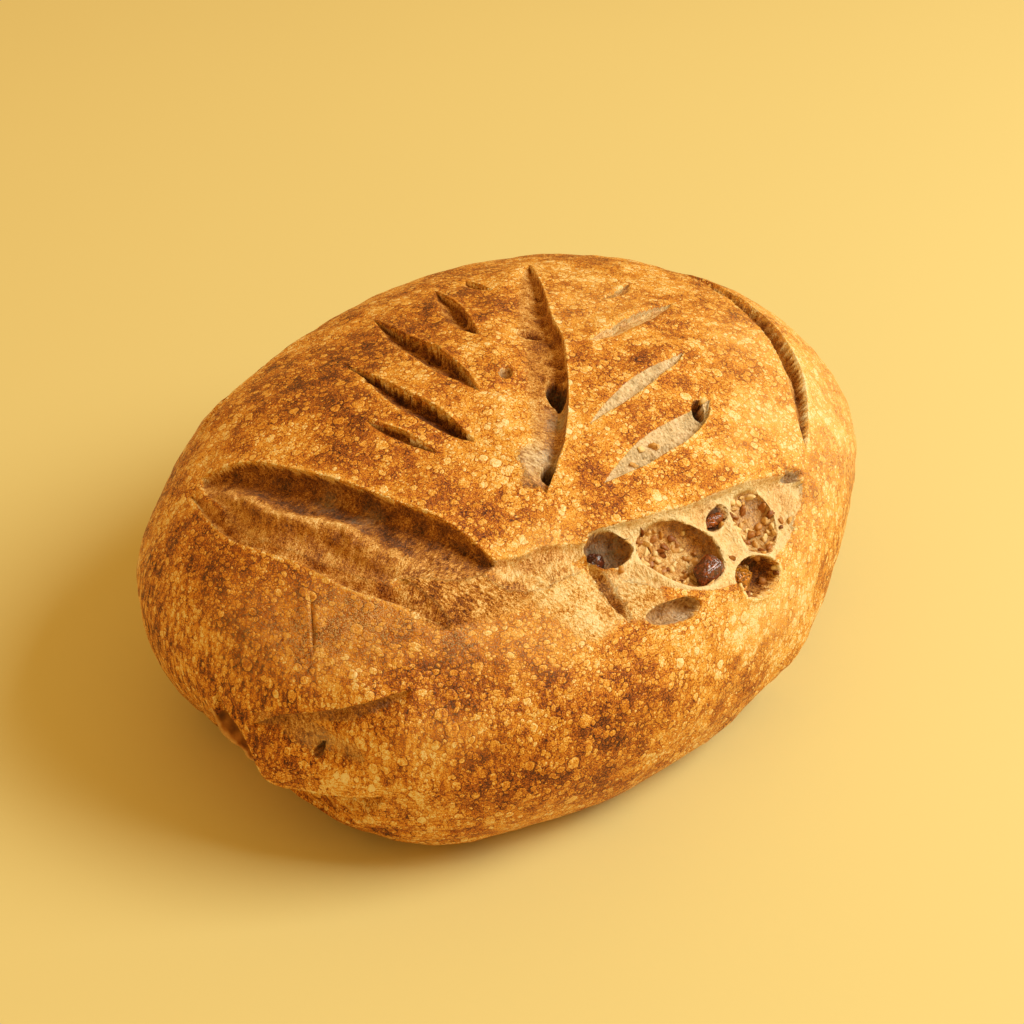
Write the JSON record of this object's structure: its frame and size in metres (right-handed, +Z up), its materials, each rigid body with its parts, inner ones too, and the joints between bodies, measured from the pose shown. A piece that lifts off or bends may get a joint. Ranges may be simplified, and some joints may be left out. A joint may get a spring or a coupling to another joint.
{
  "type": "sourdough loaf",
  "caption": "Oval hearth-baked sourdough loaf with a leaf scored into its blistered crust, torn gashes at the sides and walnut pieces showing.",
  "frame": {"origin": "centre of the loaf's bounding box in plan, at the flat base it rests on", "axes": "+X along the loaf's length, towards the end away from the torn end, +Y across its width, away from the gash with the walnuts, and +Z up"},
  "size_m": [0.273, 0.2104, 0.1143],
  "materials": {
    "crust": "baked golden-brown bread crust with small blisters, and paler torn crumb inside the cuts",
    "walnut": "baked walnut pieces with glossy red-brown skin"
  },
  "bodies": {
    "root": {"loaf": "crust", "walnut_large": "walnut", "walnut_amber": "walnut", "walnut_sliver": "walnut", "walnut_dark": "walnut"}
  },
  "joints": []
}
